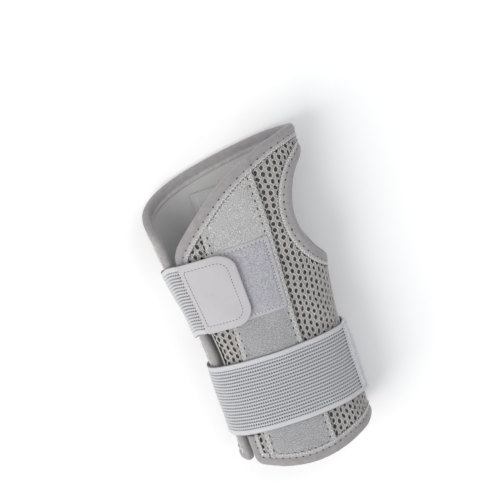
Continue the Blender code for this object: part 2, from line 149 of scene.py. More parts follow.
def ripple(u, y):
    """Slow waves that all layers share. The flat back stays flat."""
    a = from_palm(u)
    fade = 1.0 - smooth((a - 60.0) / 16.0)
    return RIPPLE * fade * (0.6 * np.sin(0.17 * u + 1.7 * np.sin(0.043 * y)) * np.sin(0.10 * y + 0.6)
                            + 0.4 * np.sin(0.33 * u + 0.21 * y))


def form(flat):
    """Flat points (u, y, d) in millimetres, wrapped on the arm form, in metres."""
    u, y, d = np.asarray(flat, float).reshape(-1, 3).T
    a = from_palm(u)
    side = np.where((u >= 0) & (u <= HALF_GIRTH), 1.0, -1.0)
    palm = a <= PALM_ARC
    angle = np.minimum(np.where(palm, a / PALM_R, PALM_HALF_ANGLE + (a - PALM_ARC) / SIDE_R), math.pi)
    x = np.where(palm, PALM_R * np.sin(angle), BACK_HALF + SIDE_R * np.sin(angle))
    z = np.where(palm, PALM_HEIGHT - PALM_R * (1 - np.cos(angle)), SIDE_R * (1 + np.cos(angle)))
    x = np.where(a >= HALF_GIRTH - BACK_HALF, HALF_GIRTH - a, x)
    wide = 1.0 + HAND_WIDENING * smooth((y - WIDENING_START) / WIDENING_LENGTH)
    thick = MID_THICKNESS - THICKNESS_TAPER * y
    nx, nz = side * np.sin(angle) / wide, np.cos(angle) / thick
    length = np.hypot(nx, nz)
    d = d + ripple(u, y)
    return np.stack([wide * side * x + d * nx / length, y, BACK_LIFT + thick * z + d * nz / length], 1) * MM


def catmull(points, steps=12):
    """Smooth open curve through a few points."""
    p = [2 * np.array(points[0]) - points[1]] + [np.array(q, float) for q in points]
    p.append(2 * p[-1] - p[-2])
    out = []
    for k in range(1, len(p) - 2):
        for t in np.arange(steps) / steps:
            out.append(0.5 * (2 * p[k] + (p[k + 1] - p[k - 1]) * t
                              + (2 * p[k - 1] - 5 * p[k] + 4 * p[k + 1] - p[k + 2]) * t ** 2
                              + (3 * p[k] - p[k - 1] - 3 * p[k + 1] + p[k + 2]) * t ** 3))
    return np.array(out + [p[-2]])


PALM_HAND = catmull([(-36, 35), (-18, 53), (0, 69), (20, 79.6), (37, 83.5), (52, END_Y)])
BACK_HAND = catmull([(164, 44), (150, 59), (130, 70), (105, 78), (75, 83), (47, END_Y)])[::-1]


def hem(u):
    """Height of the forearm end, which is cut towards the hand at both sides."""
    return HEM_DIP - END_Y - HEM_DIP * np.cos(math.pi * (u - 2.0) / FOLD_U)


def hand_end(u, amount=0.0):
    """Height of the hand end at u, moved inwards by an amount measured square to the edge."""
    ends = []
    for curve_u, curve_y in (PALM_HAND.T, BACK_HAND.T):
        slope = np.interp(u, curve_u, np.gradient(curve_y, curve_u))
        ends.append(np.interp(u, curve_u, curve_y) - amount * np.hypot(1.0, slope))
    return np.where(u < FOLD_U, *ends)


def side_line(u, lean=0.0):
    """A panel's side line, as a function of y."""
    return lambda y: u + lean * y


def under_binding(u):
    """Extra height of a binding where it runs over the palm or back panel."""
    palm = smooth((u + 19.5) / 2.0) * smooth((15.0 - u) / 2.0)
    back = smooth((u - HALF_GIRTH + 20.0) / 2.0) * smooth((HALF_GIRTH + 20.0 - u) / 2.0)
    return 0.75 * palm + 0.1 * back


def headings(path, closed):
    """Average step at each point of an evenly spaced path."""
    return 0.5 * (np.roll(path, -1, 0) - np.roll(path, 1, 0)) if closed else np.gradient(path, axis=0)


def across(path, side, closed):
    """Unit normals of a path, to its right where side is 1."""
    ahead = headings(path, closed)
    ahead /= np.linalg.norm(ahead, axis=1)[:, None]
    return side * np.stack([ahead[:, 1], -ahead[:, 0]], 1)


def resample(path, step, closed=False):
    """Evenly spaced points along a path, with the distance of each."""
    path = np.asarray(path, float)
    if closed:
        path = np.vstack([path, path[:1]])
    run = np.concatenate([[0.0], np.cumsum(np.linalg.norm(np.diff(path, axis=0), axis=1))])
    count = max(2, int(round(run[-1] / step)) + 1)
    s = np.linspace(0.0, run[-1], count)
    out = np.stack([np.interp(s, run, path[:, k]) for k in range(2)], 1)
    return (out[:-1], s[:-1]) if closed else (out, s)


def rounded(path, radius, step=0.5):
    """Path with its corners eased over about a radius."""
    points, _ = resample(path, step)
    reach = int(radius / step)
    padded = np.pad(points, ((reach, reach), (0, 0)), "reflect", reflect_type="odd")
    kernel = np.hanning(2 * reach + 1)
    kernel /= kernel.sum()
    return np.stack([np.convolve(padded[:, k], kernel, "valid") for k in range(2)], 1)


def arc(cu, cy, radius, start, end):
    """Points of a corner, from one angle in degrees to another."""
    a = np.radians(np.linspace(start, end, 9))
    return list(zip(cu + radius * np.cos(a), cy + radius * np.sin(a)))


def bar(corners, left=0.6, right=0.6, inset=0.0):
    """Flat rectangle (u0, u1, y0, y1), moved in by an inset, with its own corner radius on either side."""
    u0, u1, y0, y1 = np.add(corners, (inset, -inset, inset, -inset))
    return (arc(u0 + left, y0 + left, left, 180, 270) + arc(u1 - right, y0 + right, right, 270, 360)
            + arc(u1 - right, y1 - right, right, 0, 90) + arc(u0 + left, y1 - left, left, 90, 180))


def strip(left, right, tuck):
    """Closed outline between two side lines, from the hem to the hand end, tucked under their bindings."""
    foot = hem(0.0) + tuck
    low_u = np.linspace(left(foot), right(foot), 18)
    high_u = np.linspace(left(STRIP_TOPS[0]), right(STRIP_TOPS[1]), 18)[::-1]
    return list(zip(low_u, hem(low_u) + tuck)) + list(zip(high_u, hand_end(high_u, tuck)))


# ---- materials ----

class Finish:
    """A procedural material, whose patterns follow the flat piece."""

    def __init__(self, name, roughness=0.85, sheen=0.0, metallic=0.0, specular=0.3, pattern=True):
        self.made = bpy.data.materials.new(name)
        self.made.use_nodes = True
        self.tree = self.made.node_tree
        self.shader = self.tree.nodes["Principled BSDF"]
        for socket, value in (("Roughness", roughness), ("Metallic", metallic), ("Sheen Weight", sheen),
                              ("Specular IOR Level", specular)):
            self.shader.inputs[socket].default_value = value
        if pattern:
            node = self.tree.nodes.new("ShaderNodeAttribute")
            node.attribute_name = "flat"
            self.flat = node.outputs["Vector"]
        else:
            node = self.tree.nodes.new("ShaderNodeTexCoord")
            self.flat = self.scaled(0.0, (1000, 1000, 1000), node.outputs["Object"])

    def add(self, kind, values=(), links=()):
        """A node with some inputs set and others linked."""
        node = self.tree.nodes.new(kind)
        for key, value in dict(values).items():
            node.inputs[key].default_value = value
        for key, source in dict(links).items():
            self.tree.links.new(source, node.inputs[key])
        return node

    def scaled(self, turn=0.0, scale=(1, 1, 1), source=None):
        """The pattern's coordinates, turned by degrees and scaled."""
        node = self.add("ShaderNodeMapping", {"Scale": scale, "Rotation": (0, 0, math.radians(turn))},
                        {"Vector": source or self.flat})
        return node.outputs["Vector"]

    def noise(self, scale, detail=2.0, rough=0.5, stretch=(1, 1, 1), turn=0.0):
        node = self.add("ShaderNodeTexNoise", {"Scale": scale, "Detail": detail, "Roughness": rough},
                        {"Vector": self.scaled(turn, stretch)})
        return node.outputs["Fac"]

    def cells(self, scale):
        node = self.add("ShaderNodeTexVoronoi", {"Scale": scale}, {"Vector": self.scaled()})
        return node.outputs["Distance"]

    def wave(self, scale, turn=0.0, distortion=0.0):
        node = self.add("ShaderNodeTexWave", {"Scale": scale, "Distortion": distortion, "Detail": 1.0},
                        {"Vector": self.scaled(turn)})
        node.bands_direction = "X"
        return node.outputs["Fac"]

    def between(self, axis, low, high):
        """From 0 to 1 as one of the pattern's coordinates goes from low to high."""
        part = self.add("ShaderNodeSeparateXYZ", links={"Vector": self.flat}).outputs[axis]
        node = self.add("ShaderNodeMapRange", {"From Min": low, "From Max": high}, {"Value": part})
        return node.outputs["Result"]

    def sum(self, a, b, share=0.5):
        node = self.add("ShaderNodeMix", {"Factor": share}, {"A": a, "B": b})
        return node.outputs["Result"]

    def ramp(self, source, stops):
        """Each stop is a place from 0 to 1, with a colour or a grey."""
        node = self.add("ShaderNodeValToRGB", links={"Fac": source})
        elements = node.color_ramp.elements
        while len(elements) < len(stops):
            elements.new(0.5)
        for element, (place, colour) in zip(elements, stops):
            element.position = place
            element.color = (*linear(colour), 1.0)
        return node.outputs["Color"]

    def tint(self, base, source, stops):
        """Base colour times a ramp, by the Mix node's colour sockets."""
        shade = self.ramp(source, stops)
        node = self.add("ShaderNodeMix", {0: 1.0})
        node.data_type = "RGBA"
        node.blend_type = "MULTIPLY"
        self.tree.links.new(base, node.inputs[6])
        self.tree.links.new(shade, node.inputs[7])
        return node.outputs[2]

    def mottled(self, scale, detail, dark, light):
        """Two colours that run softly into each other."""
        return self.ramp(self.noise(scale, detail), [(0.3, dark), (0.7, light)])

    def finished(self, colour, *layers):
        """The material, with its colour and its bumps: each is (height, distance in mm, strength)."""
        self.tree.links.new(colour, self.shader.inputs["Base Color"])
        normal = None
        for height, distance, strength in layers:
            node = self.add("ShaderNodeBump", {"Distance": distance * MM, "Strength": strength},
                            {"Height": height})
            if normal is not None:
                self.tree.links.new(normal, node.inputs["Normal"])
            normal = node.outputs["Normal"]
        self.tree.links.new(normal, self.shader.inputs["Normal"])
        return self.made


def linear(colour):
    """An sRGB colour or grey, from 0 to 255, as linear light."""
    c = np.broadcast_to(np.asarray(colour, float), 3) / 255.0
    return [float(v) for v in np.where(c <= 0.04045, c / 12.92, ((c + 0.055) / 1.055) ** 2.4)]


def knit(name, light, dark, grain=1.0, folded=False):
    """Smooth fine knit tape. A folded binding is darker on its curved outer fold than on its flat inner
    strip: partly the strip's paler knit, partly painted shade on the curve.
    """
    f = Finish(name, 0.8, sheen=0.25)
    base = f.mottled(0.5, 3.0, dark, light)
    if folded:
        # painted shade and real colour: the outer fold, w below 4 mm, is darkened for the shade on its curve
        # and because the inner strip is a paler knit
        base = f.tint(base, f.between("Y", 4.0, 5.2), [(0.0, (226, 225, 226)), (1.0, 255)])
    loops = f.wave(1.1, 90, 0.6)
    return f.finished(f.tint(base, loops, [(0.0, 226), (0.6, 255)]),
                      (loops, 0.12 * grain, 0.45), (f.noise(3.2, 3.0), 0.16 * grain, 0.55))


def air_mesh_yarn():
    """Knitted ridges: pale on top, and darker down the hole walls, which is painted shade."""
    f = Finish("air_mesh_yarn", 0.85, sheen=0.2)
    # painted shade: the colour darkens with the pattern's depth (Z), into the holes and down the slit's
    # rolled edge
    depth = f.ramp(f.between("Z", -1.7, 0.1), [(0.0, (92, 89, 85)), (0.45, (124, 120, 116)),
                                               (0.85, (184, 181, 178)), (1.0, (204, 201, 198))])
    strands = f.sum(f.noise(1.5, 3.0, 0.7), f.wave(0.62, 90, 2.2), 0.3)
    return f.finished(f.tint(depth, strands, [(0.32, (158, 157, 155)), (0.58, 255)]),
                      (strands, 0.3, 0.7), (f.wave(1.3, 52, 1.5), 0.15, 0.5))


def air_mesh_shaded_floor():
    """Inner layer seen at the bottom of the holes, coloured dark as painted shade, with fine crossing
    threads.
    """
    f = Finish("air_mesh_shaded_floor", 0.9)
    threads = f.sum(f.wave(1.0, 35, 0.8), f.wave(1.0, -35, 0.8))
    return f.finished(f.ramp(threads, [(0.2, (84, 82, 80)), (0.8, (142, 140, 137))]), (threads, 0.3, 0.8))


def velour():
    """Short brushed nap with a fine slanting grain; a painted highlight makes it lighter towards the hand end
    and darker towards the wrist.
    """
    f = Finish("velour", 0.9, sheen=0.4)
    nap = f.noise(3.6, 3.0, 0.7)
    grain = f.noise(2.6, 1.0, 0.6, stretch=(1.6, 0.75, 1), turn=20)
    # painted highlight: lighter from y = 2 mm to y = 34 mm and beyond, mixed with slow random tone
    tone_and_painted_highlight = f.sum(f.between("Y", 2.0, 34.0), f.noise(0.11, 3.0, 0.6), 0.35)
    base = f.ramp(tone_and_painted_highlight, [(0.15, (203, 202, 204)), (0.8, (229, 227, 226))])
    base = f.tint(base, nap, [(0.36, (176, 177, 179)), (0.62, 255)])
    return f.finished(f.tint(base, grain, [(0.38, (180, 180, 183)), (0.6, 255)]),
                      (grain, 0.18, 0.5), (nap, 0.3, 0.8))


def loop_tape():
    """Lilac grey loop tape: a dense field of tiny curled loops."""
    f = Finish("loop_tape", 0.9, sheen=0.5)
    curls = f.cells(1.9)
    fuzz = f.noise(2.2, 4.0, 0.75)
    base = f.ramp(fuzz, [(0.34, (160, 160, 166)), (0.5, (190, 189, 194)), (0.66, (214, 213, 218))])
    return f.finished(f.tint(base, curls, [(0.0, 255), (0.8, (205, 204, 210))]),
                      (fuzz, 0.35, 0.8), (curls, 0.2, 0.4))


def tab_cloth():
    """Very smooth matt microfibre."""
    f = Finish("tab_cloth", 0.62, sheen=0.15, specular=0.35)
    return f.finished(f.mottled(0.35, 3.0, (178, 176, 179), (181, 179, 182)),
                      (f.noise(4.5, 3.0, 0.7), 0.05, 0.5))


def elastic_yarn():
    """Braided ribs: pale crests, with painted shade darkening the grooves and the strap's edges."""
    f = Finish("elastic_yarn", 0.78, sheen=0.2)
    # painted shade: the colour darkens with the pattern's depth (Z), almost black at the bottom of the
    # grooves
    depth = f.ramp(f.between("Z", -0.62, 0.0), [(0.0, (24, 24, 28)), (0.45, (84, 84, 90)),
                                                (0.8, (196, 196, 200)), (1.0, (224, 224, 227))])
    ply = f.wave(1.25, 35, 0.4)
    fibre = f.noise(3.0, 3.0, 0.6)
    return f.finished(f.tint(depth, f.sum(ply, fibre), [(0.25, (208, 208, 210)), (0.65, 255)]),
                      (ply, 0.18, 0.6), (fibre, 0.12, 0.5))


def thread(name, light, dark):
    """Twisted sewing thread."""
    f = Finish(name, 0.6, sheen=0.1)
    return f.finished(f.mottled(2.0, 2.0, dark, light), (f.wave(3.0, 40), 0.05, 0.5))


def lining_cloth():
    """Brushed tricot against the skin."""
    f = Finish("lining_cloth", 0.92, sheen=0.4)
    ribs = f.wave(0.75, 0, 0.5)
    fluff = f.noise(2.0, 4.0, 0.7)
    base = f.ramp(fluff, [(0.3, (176, 175, 175)), (0.65, (202, 201, 200))])
    return f.finished(f.tint(base, ribs, [(0.1, 222), (0.6, 255)]), (ribs, 0.15, 0.45), (fluff, 0.2, 0.6))


def hook_tape():
    """Stiff tape covered in small hooks."""
    f = Finish("hook_tape", 0.5, specular=0.4)
    hooks = f.cells(1.1)
    return f.finished(f.ramp(hooks, [(0.0, (205, 204, 210)), (0.5, (140, 139, 146))]),
                      (hooks, 0.5, -0.9), (f.noise(3.0, 2.0), 0.1, 0.4))


def metal(name, light, dark, roughness, stretch):
    """Rolled or brushed strip; the scratches run along the stay."""
    f = Finish(name, roughness, metallic=1.0, pattern=False)
    scratches = f.noise(1.5, 4.0, 0.6, stretch=stretch)
    return f.finished(f.ramp(scratches, [(0.3, dark), (0.7, light)]), (scratches, 0.03, 0.5))


def dipped():
    """Smooth dipped plastic on a stay's ends."""
    f = Finish("dipped_cap", 0.4, specular=0.5, pattern=False)
    return f.finished(f.mottled(0.4, 3.0, (222, 222, 218), (238, 238, 235)), (f.noise(0.6), 0.15, 0.3))


def table_top():
    """Plain pale floor."""
    f = Finish("table_top", 0.7, specular=0.15, pattern=False)
    return f.finished(f.mottled(0.004, 2.0, 250, 253), (f.noise(0.3, 3.0), 0.05, 0.2))


FINISH = {
    "yarn": air_mesh_yarn(),
    "strand": thread("mesh_strand", (226, 222, 220), (186, 182, 180)),
    "floor": air_mesh_shaded_floor(),
    "knit": knit("binding_knit", (187, 183, 184), (172, 168, 169), folded=True),
    "tape": knit("seam_tape_knit", (184, 183, 182), (170, 169, 168), 1.3),
    "velour": velour(),
    "loop": loop_tape(),
    "selvedge": knit("selvedge_knit", (190, 189, 194), (178, 177, 182)),
    "tab": tab_cloth(),
    "tip": knit("tip_knit", (218, 217, 222), (200, 199, 205)),
    "elastic": elastic_yarn(),
    "thread": thread("pale_thread", (236, 235, 232), (206, 205, 203)),
    # near white, paler than the tip they come from: painted light, so that the hairs look lit also where they
    # face away from the key light
    "fibre": thread("fibre_ends_painted_light", (250, 250, 252), (226, 225, 230)),
    # dark beads that paint shade: in needle holes, along seams and at the ends of the elastic's grooves
    "hole": thread("needle_hole_shade", (78, 76, 75), (54, 53, 53)),
    "lining": lining_cloth(),
    "hook": hook_tape(),
}


# ---- piece makers ----

PIECES = {}


def place(name, flat, faces, finish, pattern=None, outward=False, merge=0.0):
    """Mesh object from flat points; pattern holds the points that its material follows."""
    flat = np.asarray(flat, float).reshape(-1, 3)
    mesh = bpy.data.meshes.new(name)
    mesh.from_pydata(form(flat).tolist(), [], faces)
    follow = flat if pattern is None else np.asarray(pattern, float).reshape(-1, 3)
    mesh.attributes.new("flat", "FLOAT_VECTOR", "POINT").data.foreach_set("vector", follow.ravel())
    if outward or merge:
        bm = bmesh.new()
        bm.from_mesh(mesh)
        if merge:
            bmesh.ops.remove_doubles(bm, verts=bm.verts, dist=merge * MM)
        if outward:
            bmesh.ops.recalc_face_normals(bm, faces=bm.faces)
        bm.to_mesh(mesh)
        bm.free()
    mesh.polygons.foreach_set("use_smooth", [True] * len(mesh.polygons))
    mesh.materials.append(FINISH[finish])
    PIECES[name] = bpy.data.objects.new(name, mesh)
    bpy.context.scene.collection.objects.link(PIECES[name])


def stacked(*columns):
    """Points from their coordinates, each a number or an array."""
    return np.stack(np.broadcast_arrays(*columns), -1)


def ring_faces(rows, columns, closed_rows=False, closed_columns=True):
    """Quads of a grid of points, row by row."""
    i = np.arange(rows if closed_rows else rows - 1)[:, None]
    j = np.arange(columns if closed_columns else columns - 1)[None, :]
    i2, j2 = (i + 1) % rows, (j + 1) % columns
    quads = np.stack([i * columns + j, i * columns + j2, i2 * columns + j2, i2 * columns + j], -1)
    return quads.reshape(-1, 4).tolist()


def end_caps(rows, columns):
    """Faces across both ends of a closed grid."""
    return [list(range(columns)), [(rows - 1) * columns + k for k in range(columns)][::-1]]


def two_sided(quads, n):
    """Faces of a thin layer: its outer grid, the inner grid n points later, and the rim between them."""
    edges = dict.fromkeys((a, b) for quad in quads for a, b in zip(quad, quad[1:] + quad[:1]))
    rim = [[b, a, a + n, b + n] for a, b in edges if (b, a) not in edges]
    return quads + [[v + n for v in quad[::-1]] for quad in quads] + rim


def repeated(faces, points, count):
    """The faces of one shape, for each of its copies."""
    copies = np.array(faces) + points * np.arange(count)[:, None, None]
    return copies.reshape(-1, copies.shape[2]).tolist()


def sweep(name, path, profile, finish, side, closed=False, lift=None):
    """Folded tape along a flat path. profile holds (w, d): w inwards from the folded edge."""
    points, s = resample(path, 1.1, closed)
    inward = across(points, side, closed)
    w, d = np.array(profile, float).T
    u, y = np.moveaxis(points[:, None] + w[None, :, None] * inward[:, None], -1, 0)
    rise = 0.0 if lift is None else lift(u) * (d > 0.2)
    faces = ring_faces(len(points), len(w), closed_rows=closed)
    if not closed:
        faces += [cap[::-1] for cap in end_caps(len(points), len(w))]
    place(name, stacked(u, y, d + rise), faces, finish, stacked(s[:, None], w, d), outward=True)


def panel(name, outline, low, high, finish, edge=0.35, dome=0.0, step=PIECE_STEP):
    """Cloth piece of even thickness with a softly rounded edge, a little higher in the middle."""
    outline, _ = resample(outline, 1.5, closed=True)
    u, y = outline.T
    if np.sum(u * np.roll(y, -1) - y * np.roll(u, -1)) < 0:
        outline = outline[::-1]
    inward = across(outline, -1, closed=True)
    middle = 0.5 * (low + high)
    rows = [(0.0, middle), (0.12 * edge, high - 0.3 * edge), (0.5 * edge, high - 0.08 * edge), (edge, high),
            (edge, low), (0.12 * edge, low + 0.3 * edge)]
    bm = bmesh.new()
    rings = [[bm.verts.new((*(p + w * n), d)) for p, n in zip(outline, inward)] for w, d in rows]
    verts = sum(rings[4:] + rings[:4], [])
    for quad in ring_faces(len(rows), len(outline)):
        bm.faces.new([verts[k] for k in quad])
    bm.faces.new(rings[3])
    bm.faces.new(rings[4][::-1])
    for axis, normal in enumerate(np.eye(3)[:2]):
        start, end = outline[:, axis].min(), outline[:, axis].max()
        for cut in np.arange(start + step, end - 0.4 * step, step):
            everything = bm.verts[:] + bm.edges[:] + bm.faces[:]
            bmesh.ops.bisect_plane(bm, geom=everything, dist=1e-4, plane_co=cut * normal, plane_no=normal)
    bmesh.ops.triangulate(bm, faces=[f for f in bm.faces if len(f.verts) > 4])
    bm.verts.index_update()
    flat = np.array([v.co for v in bm.verts])
    faces = [[v.index for v in f.verts] for f in bm.faces]
    bm.free()
    if dome:
        away = np.linalg.norm(flat[:, None, :2] - outline[None, ::2], axis=2).min(1)
        flat[:, 2] += np.where(flat[:, 2] > middle, dome * smooth(away / 6.0), 0.0)
    place(name, flat, faces, finish)


def bead():
    """Short rounded stitch, one unit long and wide, along u: its points, quads and end caps."""
    rows = [(-0.5, 0.25), (-0.36, 0.8), (0.0, 1.0), (0.36, 0.8), (0.5, 0.25)]
    turn = np.arange(STITCH_SIDES) * 2 * math.pi / STITCH_SIDES
    points = [[x, 0.5 * r * math.cos(t), 0.5 * r * math.sin(t)] for x, r in rows for t in turn]
    quads, caps = ring_faces(len(rows), STITCH_SIDES), end_caps(len(rows), STITCH_SIDES)
    return np.array(points), np.array(quads)[:, ::-1], np.array(caps)[:, ::-1]


def scatter(name, spots, d, turn, size, finish):
    """One mesh of many stitches at flat spots. size is (length, width, height)."""
    shape, quads, caps = bead()
    u, y, d, turn, *size = stacked(spots[:, 0], spots[:, 1], d, turn, *size).T[..., None]
    x, w, z = (shape[:, k] * size[k] for k in range(3))
    c, s = np.cos(turn), np.sin(turn)
    flat = np.stack([u + x * c - w * s, y + x * s + w * c, d + z], -1)
    faces = repeated(quads, len(shape), len(spots)) + repeated(caps, len(shape), len(spots))
    place(name, flat, faces, finish, stacked(x + np.arange(len(spots))[:, None], w, z))


def along_path(path, side, w, pitch, closed, shift=0.0):
    """Points and angles at an even pitch, w inwards from a path and moved ahead by a share of the pitch."""
    points, _ = resample(path, 0.5, closed)
    spots, _ = resample(points + w * across(points, side, closed), pitch, closed)
    ahead = headings(spots, closed)
    return spots + shift * ahead, np.arctan2(ahead[:, 1], ahead[:, 0])


def alternate(count):
    """1, -1, 1, -1 and so on."""
    return np.where(np.arange(count) % 2 == 0, 1.0, -1.0)


# ---- edge bindings ----

TAPE_PROFILE = [(7.0, 0.12), (6.85, 0.42), (6.2, 0.58), (5.4, 0.56), (4.95, 0.47), (4.5, 0.40), (4.1, 0.55),
                (3.9, 0.72), (3.0, 0.95), (2.0, 0.98), (1.0, 0.75), (0.35, 0.3), (0.0, -0.4), (-0.1, -1.3),
                (0.1, -2.3), (0.7, -3.1), (2.0, -3.5), (4.2, -3.4), (4.7, -3.15), (5.2, -3.35), (6.8, -3.3),
                (7.0, -3.1), (6.0, -2.9), (1.2, -2.6), (0.9, -1.3), (1.2, -0.3), (6.0, 0.0)]
ROLLED_PROFILE = [(2.2, -0.05), (1.8, 0.08), (1.3, 0.05), (0.9, -0.25), (0.7, -0.9), (0.7, -1.9), (0.9, -2.8),
                  (1.5, -3.25), (2.2, -3.15), (1.8, -2.6), (1.4, -1.4), (1.6, -0.3)]


def stitch_binding(prefix, path, side, pitch, seam_pitch=1.6, closed=False):
    """Dark beads of painted shade for the needle holes and thread in the groove, overlock stitches on the
    inner strip, and a painted shadow along the seam.
    """
    def row(w, row_pitch, d, shift=0.0):
        spots, turn = along_path(path, side, w, row_pitch, closed, shift)
        return spots, d + under_binding(spots[:, 0]), turn

    spots, d, turn = row(NEEDLE_ROW, pitch, 0.42)
    length, width, height = HOLE_SHADE_SIZE
    uneven = 1.0 + 0.125 * rng.standard_normal(len(spots))
    scatter(prefix + "_needle_holes", spots, d, turn, (length * uneven, width * uneven, height), "hole")
    scatter(prefix + "_lockstitch", *row(NEEDLE_ROW, pitch, 0.40, shift=0.5), LOCKSTITCH, "knit")
    spots, d, turn = row(OVERLOCK_ROW, 1.55, 0.62)
    tilt = 0.75 * alternate(len(spots)) + 0.2 * rng.standard_normal(len(spots))
    scatter(prefix + "_overlock", spots, d, turn + tilt, OVERLOCK, "thread")
    shadow = (min(1.25, 0.55 * seam_pitch), 0.5, 0.34)
    scatter(prefix + "_seam_shadow", *row(SEAM_ROW, seam_pitch, 0.16), shadow, "hole")


def palm_hand_path():
    """From under the hand tab, round the slit's top corner and along the hand end, past the thumb side."""
    palm = PALM_HAND[(PALM_HAND[:, 0] > PALM_SLIT + 1.0) & (PALM_HAND[:, 0] < FOLD_U)]
    back = BACK_HAND[(BACK_HAND[:, 0] > FOLD_U) & (BACK_HAND[:, 0] < BLEND_U)]
    end = [(BLEND_U, float(hand_end(BLEND_U)))]
    return rounded([(PALM_SLIT, 22.0), (PALM_SLIT, 37.0)] + list(palm) + list(back) + end, SLIT_ROUND)


def palm_hem_path():
    """From under the wrist strap, round the slit's lower corner and along the hem."""
    u = np.linspace(PALM_SLIT + 0.5, BLEND_U, 60)
    slit = [(PALM_SLIT, -62.0), (PALM_SLIT, float(hem(PALM_SLIT)) + 0.5)]
    return rounded(slit + list(zip(u, hem(u))), SLIT_ROUND)


def back_path():
    """All round the back half: hand end, free edge and hem."""
    hand = BACK_HAND[(BACK_HAND[:, 0] > BLEND_U) & (BACK_HAND[:, 0] < BACK_SLIT - 1.0)]
    u = np.linspace(BACK_SLIT - 0.5, BLEND_U, 60)
    start = [(BLEND_U, float(hand_end(BLEND_U)))]
    corner = [(BACK_SLIT, float(hand_end(BACK_SLIT)) - 0.5), (BACK_SLIT, float(hem(BACK_SLIT)) + 0.5)]
    return rounded(start + list(hand) + corner + list(zip(u, hem(u))), SLIT_ROUND)


def thumb_path():
    """Oval thumb hole, centred on the fold line."""
    a = np.linspace(0.0, 2 * math.pi, 120, endpoint=False)
    return np.stack([FOLD_U + THUMB_HALF_U * np.cos(a), THUMB_Y + THUMB_HALF_Y * np.sin(a)], 1)


# ---- air mesh ----

def in_fabric(u, y, margin):
    """Inside the splint's outline by a margin from the hand end, the hem and the thumb hole."""
    keep = (y < hand_end(u, margin)) & (y > hem(u) + margin)
    reach_u, reach_y = THUMB_HALF_U + margin, THUMB_HALF_Y + margin
    return keep & (((u - FOLD_U) / reach_u) ** 2 + ((y - THUMB_Y) / reach_y) ** 2 > 1.0)


def stretched(flat):
    """The knit is pulled a little unevenly, so its columns wander."""
    u, y = flat[:, 0].copy(), flat[:, 1].copy()
    flat[:, 0] += 0.35 * np.sin(0.31 * y + 0.19 * u) + 0.16 * np.sin(1.07 * y - 0.61 * u)
    flat[:, 1] += 0.35 * np.sin(0.27 * u - 0.12 * y + 1.0) + 0.16 * np.sin(0.93 * u + 0.71 * y)
    return flat


# each ring round a hole: its shares of the cell's outline and of the hole's, and its height
MESH_RINGS = [(1.0, 0.0, 0.02), (0.62, 0.38, -0.05), (0.24, 0.76, -0.28), (0.0, 1.0, -0.75),
              (0.0, 1.02, -1.1), (0.0, 0.9, -1.4)]
CELL_POINTS = 12


def air_mesh(name, u0, u1, covered):
    """Open hexagonal knit: rounded ridges round deep oval holes. covered(u, y) skips hidden cells."""
    column, k = np.meshgrid(np.arange(math.ceil(u0 / CELL_U), math.floor(u1 / CELL_U) + 1),
                            np.arange(int(-90 / CELL_Y), int(90 / CELL_Y)), indexing="ij")
    centres = np.stack([column * CELL_U, k * CELL_Y + 0.5 * CELL_Y * (column % 2)], -1).reshape(-1, 2)
    centres = centres[in_fabric(*centres.T, MESH_MARGIN) & ~covered(*centres.T)]
    # twelve points round the cell: its six corners and the middles of its sides
    corner = np.array([(4, 0), (2, 3), (-2, 3), (-4, 0), (-2, -3), (2, -3)]) * (CELL_U / 6, CELL_Y / 6)
    cell = np.empty((CELL_POINTS, 2))
    cell[0::2] = corner
    cell[1::2] = 0.5 * (corner + np.roll(corner, -1, 0))
    turn = np.arctan2(cell[:, 1], cell[:, 0])
    hole = np.stack([HOLE_U * np.cos(turn), HOLE_Y * np.sin(turn)], 1)
    size = 1.0 + 0.10 * rng.standard_normal((len(centres), 2))
    lean = 0.12 * rng.standard_normal((len(centres), 2))
    flat = np.zeros((len(centres), len(MESH_RINGS), CELL_POINTS, 3))
    for r, (outer, inner, d) in enumerate(MESH_RINGS):
        ring = outer * cell[None] + inner * (hole[None] * size[:, None] + lean[:, None])
        flat[:, r, :, :2] = centres[:, None] + ring
        flat[:, r, :, 2] = d
    # the ridges are knit strands, so they are lower at the cells' corners
    flat[:, 0, 0::2, 2] -= 0.10
    faces = repeated(ring_faces(len(MESH_RINGS), CELL_POINTS), len(MESH_RINGS) * CELL_POINTS, len(centres))
    place(name, stretched(flat.reshape(-1, 3)), faces, "yarn", merge=0.02)


def yarns(name, u0, u1, covered):
    """Two wavy yarns to each column, which pass round its holes and cross between them."""
    sides = 5
    ys = np.arange(-80.0, 84.0, 0.5)
    turn = np.arange(sides) * 2 * math.pi / sides
    flat, faces = [], []
    for column in range(math.ceil(u0 / CELL_U), math.floor(u1 / CELL_U) + 1):
        shift = 0.5 * CELL_Y * (column % 2)
        for phase in (0.0, math.pi):
            wave = math.pi * (ys - shift) / CELL_Y + phase
            u = column * CELL_U + YARN_SWING * np.cos(wave) + 0.05 * rng.standard_normal(len(ys))
            over = 0.12 if phase else -0.12
            d = 0.02 + over * np.cos(wave * 2.0) + 0.03 * rng.standard_normal(len(ys))
            keep = in_fabric(u, ys, 4.5) & ~covered(u, ys) & (u > u0 - 0.6)
            radius = YARN_R * (1.0 + 0.12 * rng.standard_normal(len(ys)))
            ring = stacked(u[:, None] + radius[:, None] * np.cos(turn), ys[:, None],
                           d[:, None] + radius[:, None] * np.sin(turn))
            quads = np.array(ring_faces(len(ys), sides)).reshape(len(ys) - 1, sides, 4)
            used = keep[:-1] & keep[1:]
            faces.append(quads[used].reshape(-1, 4) + len(flat) * ring.shape[0] * sides)
            flat.append(ring.reshape(-1, 3))
    flat, faces = np.concatenate(flat), np.concatenate(faces)
    used, inverse = np.unique(faces, return_inverse=True)
    place(name, stretched(flat[used]), inverse.reshape(-1, 4).tolist(), "strand")


